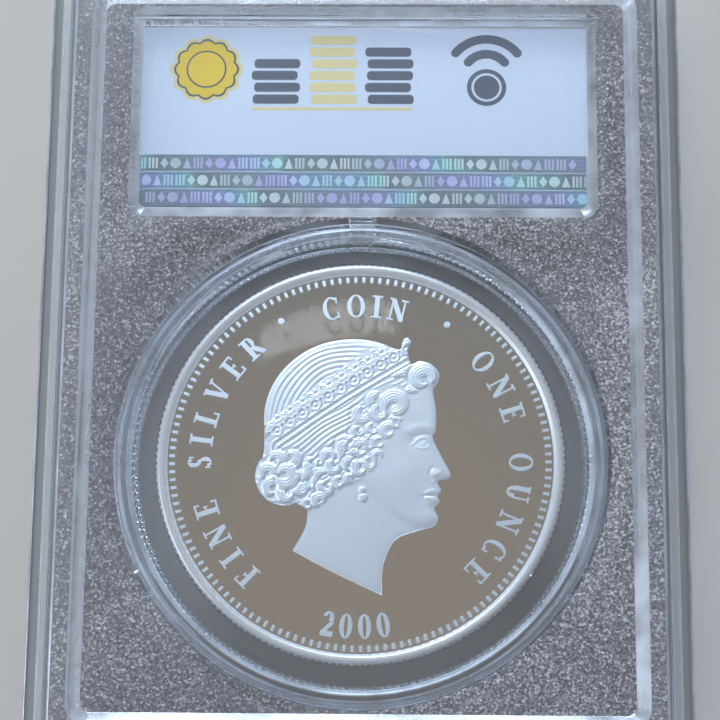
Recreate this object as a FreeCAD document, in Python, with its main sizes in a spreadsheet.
import FreeCAD, Part

import math
import os

import Sketcher
from FreeCAD import Placement, Rotation, Vector

# Graded coin slab: a sealed holder of two clear shells around a coin, its gasket and a label with a tag.
# Frame: millimetres, origin at the middle of the footprint, z = 0 on the resting rim.
# +X across, +Y towards the label end, +Z towards the rear shell, which carries the raised frame.

SIZES = [
    # name, value, what it is
    ("slab_width", 63.5, "outside, across"),
    ("slab_length", 86.0, "outside, along"),
    ("front_depth", 4.0, "resting rim to weld seam"),
    ("rear_depth", 4.0, "weld seam to top of the raised frame"),
    ("corner_radius", 3.0, "outside corners in plan"),
    ("frame_corner", 2.0, "raised frame, outside corners in plan"),
    ("panel_corner", 1.0, "panel and hollow corners in plan"),
    ("edge_round", 0.4, "rounding of the outside edges"),
    ("nest_depth", 1.2, "how far a slab sinks into the next one of a stack"),
    ("nest_clearance", 0.2, "raised frame to resting rim of the next slab, each side"),
    ("ledge_width", 2.45, "clear ledge outside the raised frame"),
    ("frame_side", 1.8, "flat top of the raised frame, long sides"),
    ("frame_end", 3.4, "flat top of the raised frame, short ends"),
    ("step_run", 1.3, "slope from the frame down to the panel, in plan"),
    ("panel_depth", 1.0, "frosted rear panel below the raised frame"),
    ("window_depth", 0.4, "polished windows below their panel"),
    ("side_wall", 2.95, "wall all round the two shells"),
    ("rear_plate", 1.6, "rear panel thickness"),
    ("front_plate", 1.4, "front panel thickness"),
    ("tongue_width", 0.8, "weld tongue of the front shell"),
    ("tongue_height", 0.8, "weld tongue above the seam"),
    ("weld_clearance", 0.05, "tongue to groove, each side"),
    ("seam_gap", 0.05, "inner walls short of the seam, each shell"),
    ("coin_diameter", 40.0, "over the reeded edge"),
    ("coin_thickness", 3.0, "at the rims"),
    ("rim_width", 0.95, "raised rim of the coin"),
    ("field_depth", 0.35, "coin field below its rim"),
    ("relief_height", 0.2, "head above the coin field"),
    ("head_radius", 6.2, "crown of the head on the coin"),
    ("bun_radius", 3.6, "knot of hair behind the head"),
    ("bust_width", 14.0, "cut of the neck, across"),
    ("reed_count", 184, "reeds round the coin's edge"),
    ("reed_depth", 0.15, "reed groove depth"),
    ("reed_groove", 0.34, "reed groove width"),
    ("grip_clearance", 0.05, "coin edge to gasket bore"),
    ("lens_clearance", 0.1, "coin rim to each window"),
    ("gasket_width", 3.9, "gasket ring, bore to outside"),
    ("gasket_rim", 1.6, "thick outer rim of the gasket"),
    ("web_thickness", 2.0, "thin web of the gasket"),
    ("gasket_chamfer", 0.35, "bevels of the gasket rim"),
    ("well_clearance", 0.1, "gasket to its round well"),
    ("ring_wall", 1.6, "wall round the well"),
    ("lug_count", 3, "locating lugs of the gasket, the first at the label end"),
    ("lug_root", 0.6, "lug, into the gasket rim"),
    ("lug_width", 2.4, "lug, round the ring"),
    ("lug_reach", 1.0, "lug, out of the ring"),
    ("lug_height", 1.6, "lug, across the seam"),
    ("lug_clearance", 0.12, "lug to its notch"),
    ("coin_bevel", 1.6, "bevel round the coin window, in plan"),
    ("window_lip", 0.25, "coin window edge outside the well"),
    ("window_gap", 0.1, "coin window to label window"),
    ("label_width", 45.6, "label cards, across"),
    ("label_height", 19.4, "label cards, along the slab"),
    ("card_thickness", 0.3, "each label card"),
    ("pocket_clearance", 0.2, "label cards to their pocket"),
    ("pocket_wall", 1.2, "wall round the label pocket"),
    ("label_drop", 0.5, "label stack starts this far below the seam"),
    ("label_clearance", 0.12, "label stack to the rear window"),
    ("label_border_side", 0.6, "label window beyond the cards, at the sides"),
    ("label_border_end", 1.5, "label window beyond the cards, at the ends"),
    ("label_bevel", 1.1, "bevel round the label window, in plan"),
    ("window_corner", 1.4, "label window corners"),
    ("strip_height", 5.5, "security strip"),
    ("strip_thickness", 0.05, "security strip foil"),
    ("film_width", 42.0, "tag film, across"),
    ("film_height", 16.0, "tag film, along the slab"),
    ("film_thickness", 0.12, "tag film"),
    ("foil_thickness", 0.05, "antenna and strap foil"),
    ("coil_margin", 1.0, "film beyond the coil"),
    ("coil_turns", 6, "turns of the antenna"),
    ("track_width", 0.5, "antenna track"),
    ("track_pitch", 0.9, "antenna track, centre to centre"),
    ("chip_side", 1.6, "tag chip"),
    ("chip_thickness", 0.15, "tag chip"),
    ("chip_window", 0.4, "adhesive clear of the chip, each side"),
]

doc = FreeCAD.newDocument("coin_slab")
sheet = doc.addObject("Spreadsheet::Sheet", "sizes")


class Size:
    """A length of the sheet, or a sum of such lengths: its number and its expression."""

    def __init__(self, value, text):
        self.value = value
        self.text = text

    def __add__(self, other):
        other = as_size(other)
        return Size(self.value + other.value, f"({self.text} + {other.text})")

    def __sub__(self, other):
        other = as_size(other)
        return Size(self.value - other.value, f"({self.text} - {other.text})")

    def __mul__(self, factor):
        factor = as_size(factor)
        return Size(self.value * factor.value, f"({self.text} * {factor.text})")

    def __truediv__(self, divisor):
        divisor = as_size(divisor)
        return Size(self.value / divisor.value, f"({self.text} / {divisor.text})")

    def __neg__(self):
        return Size(-self.value, f"(0 - {self.text})")


def as_size(item):
    """A plain number used beside the sheet's lengths."""
    return item if isinstance(item, Size) else Size(item, repr(item))


class Sheet:
    """The sheet's cells by name, each as a Size."""


s = Sheet()
for row, (alias, number, note) in enumerate(SIZES, start=1):
    sheet.set(f"A{row}", alias)
    sheet.set(f"B{row}", str(number))
    sheet.set(f"C{row}", note)
    sheet.setAlias(f"B{row}", alias)
    setattr(s, alias, Size(number, f"sizes.{alias}"))
doc.recompute()

# Levels and places that several pieces share.
half_width = s.slab_width / 2
half_length = s.slab_length / 2
seam = s.front_depth
top = s.front_depth + s.rear_depth
ledge_top = top - s.nest_depth
rear_panel = top - s.panel_depth
rear_window = rear_panel - s.window_depth
rear_inside = rear_panel - s.rear_plate
front_panel = s.nest_depth
front_window = front_panel + s.window_depth
front_inside = front_panel + s.front_plate

coin_radius = s.coin_diameter / 2
coin_bottom = seam - s.coin_thickness / 2
coin_top = seam + s.coin_thickness / 2
well_bottom = coin_bottom - s.lens_clearance
well_top = coin_top + s.lens_clearance
bore_radius = coin_radius + s.grip_clearance
gasket_radius = bore_radius + s.gasket_width
well_radius = gasket_radius + s.well_clearance
coin_window = well_radius + s.window_lip

label_window_width = s.label_width + s.label_border_side * 2
label_window_height = s.label_height + s.label_border_end * 2
contents_length = coin_window * 2 + s.window_gap + label_window_height
coin_y = coin_window - contents_length / 2
label_y = contents_length / 2 - label_window_height / 2

pocket_floor = seam - s.label_drop
strap_bottom = pocket_floor + s.card_thickness
film_bottom = strap_bottom + s.foil_thickness
coil_bottom = film_bottom + s.film_thickness
adhesive_bottom = coil_bottom + s.foil_thickness
rear_card_bottom = adhesive_bottom + s.chip_thickness
strip_bottom = rear_card_bottom + s.card_thickness
pocket_top = strip_bottom + s.strip_thickness + s.label_clearance

made = []


def bind(item, path, size):
    """Tie one property of an object to the sheet."""
    item.setExpression(path, size.text)


def new_body(label, y_place=None):
    """A body for one piece, shifted along the slab when its sketches are centred on the coin or the label."""
    body = doc.addObject("PartDesign::Body", label)
    body.Label = label
    if y_place is not None:
        body.Placement = Placement(Vector(0, y_place.value, 0), Rotation())
        bind(body, "Placement.Base.y", y_place)
    made.append(body)
    return body


def new_sketch(body, name, role="XY_Plane", level=None):
    """A sketch on one of the body's own planes, raised to a level."""
    sketch = body.newObject("Sketcher::SketchObject", name)
    plane = next(item for item in body.Origin.OriginFeatures if item.Role == role)
    sketch.AttachmentSupport = [(plane, "")]
    sketch.MapMode = "FlatFace"
    if level is not None:
        sketch.AttachmentOffset = Placement(Vector(0, 0, level.value), Rotation())
        bind(sketch, "AttachmentOffset.Base.z", level)
    return sketch


def hold(sketch, geometry, point, along, size):
    """Fix a sketch point's distance from the origin along X or Y, with its sign."""
    number = len(sketch.Constraints)
    if size.value < 0:
        rule = Sketcher.Constraint(f"Distance{along}", geometry, point, -1, 1, -size.value)
        size = -size
    else:
        rule = Sketcher.Constraint(f"Distance{along}", -1, 1, geometry, point, size.value)
    sketch.addConstraint(rule)
    bind(sketch, f"Constraints[{number}]", size)


def polygon(sketch, corners):
    """A closed outline of straight lines whose corners follow the sheet."""
    first = sketch.GeometryCount
    count = len(corners)
    points = [Vector(x.value, y.value, 0) for x, y in corners]
    for index in range(count):
        sketch.addGeometry(Part.LineSegment(points[index], points[(index + 1) % count]), False)
    for index in range(count):
        following = first + (index + 1) % count
        sketch.addConstraint(Sketcher.Constraint("Coincident", first + index, 2, following, 1))
    for index, (x, y) in enumerate(corners):
        hold(sketch, first + index, 1, "X", x)
        hold(sketch, first + index, 1, "Y", y)


def rectangle(sketch, width, height, y_middle=as_size(0.0)):
    """A sharp rectangle centred on x = 0."""
    right = width / 2
    low = y_middle - height / 2
    high = y_middle + height / 2
    polygon(sketch, [(-right, low), (right, low), (right, high), (-right, high)])


def rounded_rectangle(sketch, half_x, half_y, radius, y_middle=as_size(0.0)):
    """A rectangle centred on x = 0 with four equal round corners."""
    first = sketch.GeometryCount
    right, corner = half_x.value, radius.value
    low = (y_middle - half_y).value
    high = (y_middle + half_y).value
    centres = [(right - corner, low + corner), (right - corner, high - corner),
               (corner - right, high - corner), (corner - right, low + corner)]
    for index, (x, y) in enumerate(centres):
        start = math.radians(90 * index - 90)
        circle = Part.Circle(Vector(x, y, 0), Vector(0, 0, 1), corner)
        sketch.addGeometry(Part.ArcOfCircle(circle, start, start + math.pi / 2), False)
    for index in range(4):
        arc_end = sketch.getPoint(first + index, 2)
        next_start = sketch.getPoint(first + (index + 1) % 4, 1)
        sketch.addGeometry(Part.LineSegment(arc_end, next_start), False)
    for index in range(4):
        arc = first + index
        line = first + 4 + index
        sketch.addConstraint(Sketcher.Constraint("Tangent", arc, 2, line, 1))
        sketch.addConstraint(Sketcher.Constraint("Tangent", line, 2, first + (index + 1) % 4, 1))
        sketch.addConstraint(Sketcher.Constraint("Horizontal" if index % 2 else "Vertical", line))
    for index in range(1, 4):
        sketch.addConstraint(Sketcher.Constraint("Equal", first, first + index))
    number = len(sketch.Constraints)
    sketch.addConstraint(Sketcher.Constraint("Radius", first, corner))
    bind(sketch, f"Constraints[{number}]", radius)
    hold(sketch, first + 4, 1, "X", half_x)
    hold(sketch, first + 6, 1, "X", -half_x)
    hold(sketch, first + 5, 1, "Y", y_middle + half_y)
    hold(sketch, first + 7, 1, "Y", y_middle - half_y)


def circle(sketch, radius, y_middle=as_size(0.0)):
    """A circle centred on x = 0."""
    number = sketch.GeometryCount
    centre = Vector(0, y_middle.value, 0)
    sketch.addGeometry(Part.Circle(centre, Vector(0, 0, 1), radius.value), False)
    rule_number = len(sketch.Constraints)
    sketch.addConstraint(Sketcher.Constraint("Radius", number, radius.value))
    bind(sketch, f"Constraints[{rule_number}]", radius)
    sketch.addConstraint(Sketcher.Constraint("PointOnObject", number, 3, -2))
    if y_middle.value:
        hold(sketch, number, 3, "Y", y_middle)
    else:
        sketch.addConstraint(Sketcher.Constraint("PointOnObject", number, 3, -1))


def grow(body, kind, sketch, length, backwards=False):
    """A Pad or Pocket of a sketch, checked to change the volume the right way."""
    before = body.Shape.Volume if body.Tip else 0.0
    feature = body.newObject(f"PartDesign::{kind}", f"{kind}_{sketch.Name}")
    feature.Profile = sketch
    feature.Length = length.value
    bind(feature, "Length", length)
    feature.Reversed = backwards
    sketch.Visibility = False
    doc.recompute()
    change = body.Shape.Volume - before
    wrong = change <= 0 if kind == "Pad" else change >= 0
    if wrong:
        raise RuntimeError(f"{feature.Name} leaves the volume as it was")
    return feature


def pad(body, sketch, length):
    """Material from the sketch's level upwards."""
    return grow(body, "Pad", sketch, length)


def pocket_up(body, sketch, length):
    """Material taken away from the sketch's level upwards."""
    return grow(body, "Pocket", sketch, length, backwards=True)


def turn(body, kind, sketch):
    """A Revolution or Groove of a sketch about its vertical axis."""
    feature = body.newObject(f"PartDesign::{kind}", f"{kind}_{sketch.Name}")
    feature.Profile = sketch
    feature.ReferenceAxis = (sketch, ["V_Axis"])
    feature.Angle = 360.0
    doc.recompute()
    return feature


def sloped_recess(body, name, low, high):
    """A recess with sloping sides: low and high are (level, draw) of its floor and its mouth."""
    sections = []
    for word, (level, draw) in (("floor", low), ("mouth", high)):
        sketch = new_sketch(body, f"{name}_{word}", level=level)
        draw(sketch)
        sections.append(sketch)
    before = body.Shape.Volume
    loft = body.newObject("PartDesign::SubtractiveLoft", name)
    loft.Profile = sections[0]
    loft.Sections = [sections[1]]
    loft.Ruled = True
    doc.recompute()
    if body.Shape.Volume >= before:
        raise RuntimeError(f"{name} cuts nothing")


def round_edges(body, name, level, half_x, half_y):
    """Round the outline edges that lie at one level on a rectangle of the given half sizes."""
    names = []
    for number, edge in enumerate(body.Shape.Edges, start=1):
        box = edge.BoundBox
        flat = abs(box.ZMin - level.value) < 0.01 and abs(box.ZMax - level.value) < 0.01
        reach_x = max(abs(box.XMin), abs(box.XMax))
        reach_y = max(abs(box.YMin), abs(box.YMax))
        outside = abs(reach_x - half_x.value) < 0.01 or abs(reach_y - half_y.value) < 0.01
        if flat and outside:
            names.append(f"Edge{number}")
    base = body.Tip
    feature = body.newObject("PartDesign::Fillet", name)
    feature.Base = (base, names)
    feature.Radius = s.edge_round.value
    bind(feature, "Radius", s.edge_round)
    doc.recompute()


def lug_outlines(sketch, inner, outer, width, y_middle):
    """Rectangles that stand out of a circle about (0, y_middle), evenly spaced from the label end."""
    for number in range(int(s.lug_count.value)):
        angle = 2 * math.pi * number / s.lug_count.value
        along_x, along_y = math.sin(angle), math.cos(angle)
        corners = []
        for reach, side in ((inner, -0.5), (outer, -0.5), (outer, 0.5), (inner, 0.5)):
            x = reach * along_x + width * (side * along_y)
            y = y_middle + reach * along_y - width * (side * along_x)
            corners.append((x, y))
        polygon(sketch, corners)


def two_windows(body, side, panel, window):
    """The polished coin and label windows, sunk below a panel with bevelled edges."""
    sloped_recess(body, f"{side}_coin_window",
                  (window, lambda sketch: circle(sketch, coin_window - s.coin_bevel, coin_y)),
                  (panel, lambda sketch: circle(sketch, coin_window, coin_y)))
    half_x = label_window_width / 2
    half_y = label_window_height / 2
    bevel = s.label_bevel
    floor_corner = s.window_corner / 2
    sloped_recess(body, f"{side}_label_window",
                  (window, lambda sketch: rounded_rectangle(sketch, half_x - bevel, half_y - bevel,
                                                            floor_corner, label_y)),
                  (panel, lambda sketch: rounded_rectangle(sketch, half_x, half_y,
                                                           s.window_corner, label_y)))


def hollow(body, side, low, high):
    """The space between the side walls, from one level to another."""
    sketch = new_sketch(body, f"{side}_hollow", level=low)
    rounded_rectangle(sketch, half_width - s.side_wall, half_length - s.side_wall, s.panel_corner)
    pocket_up(body, sketch, high - low)


def inner_walls(body, side, low, high):
    """The round wall for the gasket and the block for the label, before their pockets are cut."""
    ring = new_sketch(body, f"{side}_ring_wall", level=low)
    circle(ring, well_radius + s.ring_wall, coin_y)
    pad(body, ring, high - low)
    block = new_sketch(body, f"{side}_label_block", level=low)
    edge = s.pocket_clearance + s.pocket_wall
    rounded_rectangle(block, s.label_width / 2 + edge, s.label_height / 2 + edge, s.pocket_wall, label_y)
    pad(body, block, high - low)


def pockets(body, side, well, label, notch):
    """Round well, label pocket and lug notches, each from a low level to a high one."""
    well_sketch = new_sketch(body, f"{side}_well", level=well[0])
    circle(well_sketch, well_radius, coin_y)
    pocket_up(body, well_sketch, well[1] - well[0])
    label_sketch = new_sketch(body, f"{side}_label_pocket", level=label[0])
    rounded_rectangle(label_sketch, s.label_width / 2 + s.pocket_clearance,
                      s.label_height / 2 + s.pocket_clearance, s.pocket_clearance, label_y)
    pocket_up(body, label_sketch, label[1] - label[0])
    notch_sketch = new_sketch(body, f"{side}_lug_notches", level=notch[0])
    lug_outlines(notch_sketch, well_radius - s.lug_root, gasket_radius + s.lug_reach + s.lug_clearance,
                 s.lug_width + s.lug_clearance * 2, coin_y)
    pocket_up(body, notch_sketch, notch[1] - notch[0])


def weld_ring(sketch, play):
    """The weld line: a narrow band in the middle of the side wall, widened by play on each side."""
    inset = (s.side_wall - s.tongue_width) / 2 - play
    for depth in (inset, inset + s.tongue_width + play * 2):
        rounded_rectangle(sketch, half_width - depth, half_length - depth, s.corner_radius - depth)


def build_rear_shell():
    """Upper half: ledge, raised frame, sunk panel, windows, and the groove of the weld."""
    body = new_body("rear_shell")
    outline = new_sketch(body, "rear_outline", level=seam)
    rounded_rectangle(outline, half_width, half_length, s.corner_radius)
    pad(body, outline, ledge_top - seam)
    round_edges(body, "ledge_round", ledge_top, half_width, half_length)
    frame_x = half_width - s.ledge_width
    frame_y = half_length - s.ledge_width
    frame = new_sketch(body, "raised_frame", level=ledge_top)
    rounded_rectangle(frame, frame_x, frame_y, s.frame_corner)
    pad(body, frame, s.nest_depth)
    round_edges(body, "frame_round", top, frame_x, frame_y)
    mouth_x = frame_x - s.frame_side
    mouth_y = frame_y - s.frame_end
    sloped_recess(body, "rear_step",
                  (rear_panel, lambda sketch: rounded_rectangle(sketch, mouth_x - s.step_run,
                                                                mouth_y - s.step_run, s.panel_corner)),
                  (top, lambda sketch: rounded_rectangle(sketch, mouth_x, mouth_y, s.frame_corner)))
    two_windows(body, "rear", rear_panel, rear_window)
    hollow(body, "rear", seam, rear_inside)
    inner_walls(body, "rear", seam + s.seam_gap, rear_inside)
    pockets(body, "rear", (seam, well_top), (seam, pocket_top),
            (seam, seam + s.lug_height / 2 + s.lug_clearance))
    groove = new_sketch(body, "weld_groove", level=seam)
    weld_ring(groove, s.weld_clearance)
    pocket_up(body, groove, s.tongue_height + s.weld_clearance)


def build_front_shell():
    """Lower half: resting rim, sunk panel, windows, and the tongue of the weld."""
    body = new_body("front_shell")
    outline = new_sketch(body, "front_outline", level=as_size(0.0))
    rounded_rectangle(outline, half_width, half_length, s.corner_radius)
    pad(body, outline, seam)
    round_edges(body, "rim_round", as_size(0.0), half_width, half_length)
    recess = new_sketch(body, "nest_recess", level=as_size(0.0))
    rim = s.ledge_width - s.nest_clearance
    rounded_rectangle(recess, half_width - rim, half_length - rim, s.frame_corner)
    pocket_up(body, recess, s.nest_depth)
    two_windows(body, "front", front_panel, front_window)
    hollow(body, "front", front_inside, seam)
    inner_walls(body, "front", front_inside, seam - s.seam_gap)
    pockets(body, "front", (well_bottom, seam), (pocket_floor, seam),
            (seam - s.lug_height / 2 - s.lug_clearance, seam))
    tongue = new_sketch(body, "weld_tongue", level=seam)
    weld_ring(tongue, as_size(0.0))
    pad(body, tongue, s.tongue_height)


def build_coin_gasket():
    """Clear ring round the coin: a bore, a thin web, a thick bevelled rim and locating lugs."""
    body = new_body("coin_gasket", coin_y)
    section = new_sketch(body, "gasket_section", "XZ_Plane")
    web_radius = gasket_radius - s.gasket_rim
    rim_high = well_top - s.lens_clearance
    rim_low = well_bottom + s.lens_clearance
    web_high = seam + s.web_thickness / 2
    web_low = seam - s.web_thickness / 2
    bevel = s.gasket_chamfer
    polygon(section, [
        (bore_radius, web_low), (web_radius, web_low), (web_radius + bevel, rim_low),
        (gasket_radius - bevel, rim_low), (gasket_radius, rim_low + bevel),
        (gasket_radius, rim_high - bevel), (gasket_radius - bevel, rim_high),
        (web_radius + bevel, rim_high), (web_radius, web_high), (bore_radius, web_high)])
    turn(body, "Revolution", section)
    lugs = new_sketch(body, "lugs", level=seam - s.lug_height / 2)
    lug_outlines(lugs, gasket_radius - s.lug_root, gasket_radius + s.lug_reach, s.lug_width, as_size(0.0))
    pad(body, lugs, s.lug_height)


def build_coin():
    """Silver disc with raised rims, sunk fields, a plain head in relief and a reeded edge."""
    body = new_body("coin", coin_y)
    section = new_sketch(body, "coin_section", "XZ_Plane")
    field = coin_radius - s.rim_width
    middle = as_size(0.0)
    polygon(section, [
        (middle, coin_bottom + s.field_depth), (field, coin_bottom + s.field_depth),
        (field, coin_bottom), (coin_radius, coin_bottom), (coin_radius, coin_top), (field, coin_top),
        (field, coin_top - s.field_depth), (middle, coin_top - s.field_depth)])
    turn(body, "Revolution", section)
    field_level = coin_top - s.field_depth
    crown = new_sketch(body, "crown", level=field_level)
    circle(crown, s.head_radius, s.head_radius * 0.75)
    pad(body, crown, s.relief_height)
    bust = new_sketch(body, "neck", level=field_level)
    half_cut = s.bust_width / 2
    polygon(bust, [(-half_cut, -s.head_radius), (middle, -s.head_radius * 2), (half_cut, -s.head_radius * 1.2),
                   (s.head_radius * 0.5, middle), (-s.head_radius * 0.5, middle)])
    pad(body, bust, s.relief_height)
    knot = new_sketch(body, "hair_knot", level=field_level)
    circle(knot, s.bun_radius, middle)
    pad(body, knot, s.relief_height)
    notch = new_sketch(body, "reed", level=coin_bottom)
    rectangle(notch, s.reed_groove, s.reed_depth * 2, coin_radius)
    first = pocket_up(body, notch, s.coin_thickness)
    pattern = body.newObject("PartDesign::PolarPattern", "reeding")
    pattern.Originals = [first]
    axis = next(item for item in body.Origin.OriginFeatures if item.Role == "Z_Axis")
    pattern.Axis = (axis, [""])
    pattern.Angle = 360.0
    pattern.Occurrences = int(s.reed_count.value)
    bind(pattern, "Occurrences", s.reed_count)
    body.Tip = pattern
    doc.recompute()


def flat_piece(label, width, height, bottom, thickness, y_middle=as_size(0.0)):
    """A thin rectangular sheet, placed from the label's centre."""
    body = new_body(label, label_y)
    sketch = new_sketch(body, f"{label}_outline", level=bottom)
    rectangle(sketch, width, height, y_middle)
    pad(body, sketch, thickness)
    return body


def track(sketch, route):
    """The outline of a strip of foil along a route of straight runs that turn by right angles."""
    half = s.track_width / 2
    last = len(route) - 1
    left_side, right_side = [], []
    for index, (x, y) in enumerate(route):
        runs = {(index - 1, index), (index, index + 1)} - {(-1, 0), (last, last + 1)}
        shift_x, shift_y = 0, 0
        for start, end in runs:
            along_x = route[end][0].value - route[start][0].value
            along_y = route[end][1].value - route[start][1].value
            if abs(along_x) > abs(along_y):
                shift_y += math.copysign(1, along_x)
            else:
                shift_x -= math.copysign(1, along_y)
        left_side.append((x + half * shift_x, y + half * shift_y))
        right_side.append((x - half * shift_x, y - half * shift_y))
    polygon(sketch, left_side + right_side[::-1])


def build_tag():
    """The contactless tag: strap, film, spiral antenna, chip and the adhesive sheet over them."""
    half_x = s.film_width / 2 - s.coil_margin
    half_y = s.film_height / 2 - s.coil_margin
    turns = int(s.coil_turns.value)
    coil_band = s.track_pitch * s.coil_turns
    chip_x = coil_band + s.chip_side - half_x
    chip_y = coil_band + s.chip_side - half_y

    route = [(chip_x, -half_y)]
    left = -half_x
    for number in range(turns):
        inset = s.track_pitch * number
        low, high = inset - half_y, half_y - inset
        right = half_x - inset
        if number:
            route.append((left, low))
        left = inset - half_x
        route += [(right, low), (right, high), (left, high)]
    route += [(left, chip_y), (chip_x, chip_y)]

    strap = new_body("tag_bridge", label_y)
    strap_sketch = new_sketch(strap, "strap", level=strap_bottom)
    track(strap_sketch, [(chip_x, -half_y), (chip_x, chip_y)])
    pad(strap, strap_sketch, s.foil_thickness)
    flat_piece("tag_film", s.film_width, s.film_height, film_bottom, s.film_thickness)
    coil = new_body("tag_antenna", label_y)
    coil_sketch = new_sketch(coil, "coil", level=coil_bottom)
    track(coil_sketch, route)
    pad(coil, coil_sketch, s.foil_thickness)

    def square(sketch, side):
        half = side / 2
        polygon(sketch, [(chip_x - half, chip_y - half), (chip_x + half, chip_y - half),
                         (chip_x + half, chip_y + half), (chip_x - half, chip_y + half)])

    chip = new_body("tag_chip", label_y)
    chip_sketch = new_sketch(chip, "chip", level=adhesive_bottom)
    square(chip_sketch, s.chip_side)
    pad(chip, chip_sketch, s.chip_thickness)
    adhesive = new_body("tag_adhesive", label_y)
    adhesive_sketch = new_sketch(adhesive, "adhesive", level=adhesive_bottom)
    rectangle(adhesive_sketch, s.film_width, s.film_height)
    square(adhesive_sketch, s.chip_side + s.chip_window * 2)
    pad(adhesive, adhesive_sketch, s.chip_thickness)


def build_label():
    """The two cards, back to back around the tag, and the foil strip on the lower edge of the rear one."""
    flat_piece("label_front_card", s.label_width, s.label_height, pocket_floor, s.card_thickness)
    build_tag()
    flat_piece("label_rear_card", s.label_width, s.label_height, rear_card_bottom, s.card_thickness)
    flat_piece("security_strip", s.label_width, s.strip_height, strip_bottom, s.strip_thickness,
               (s.strip_height - s.label_height) / 2)


def check_and_write():
    """Stop on any failed object or bad shape, then write one file for each piece."""
    doc.recompute()
    for item in doc.Objects:
        if "Invalid" in item.State or "Error" in item.State:
            raise RuntimeError(f"{item.Name} is {item.State}")
    for body in made:
        shape = body.Shape
        if shape.isNull() or not shape.isValid() or len(shape.Solids) != 1:
            raise RuntimeError(f"{body.Label} is not one valid solid")
    os.makedirs("parts", exist_ok=True)
    for body in made:
        body.Shape.exportStep(f"parts/{body.Label}.step")
        box = body.Shape.BoundBox
        print(f"{body.Label}: {body.Shape.Volume:.1f} mm3, z {box.ZMin:.2f} to {box.ZMax:.2f}")


build_front_shell()
build_rear_shell()
build_coin_gasket()
build_coin()
build_label()
check_and_write()
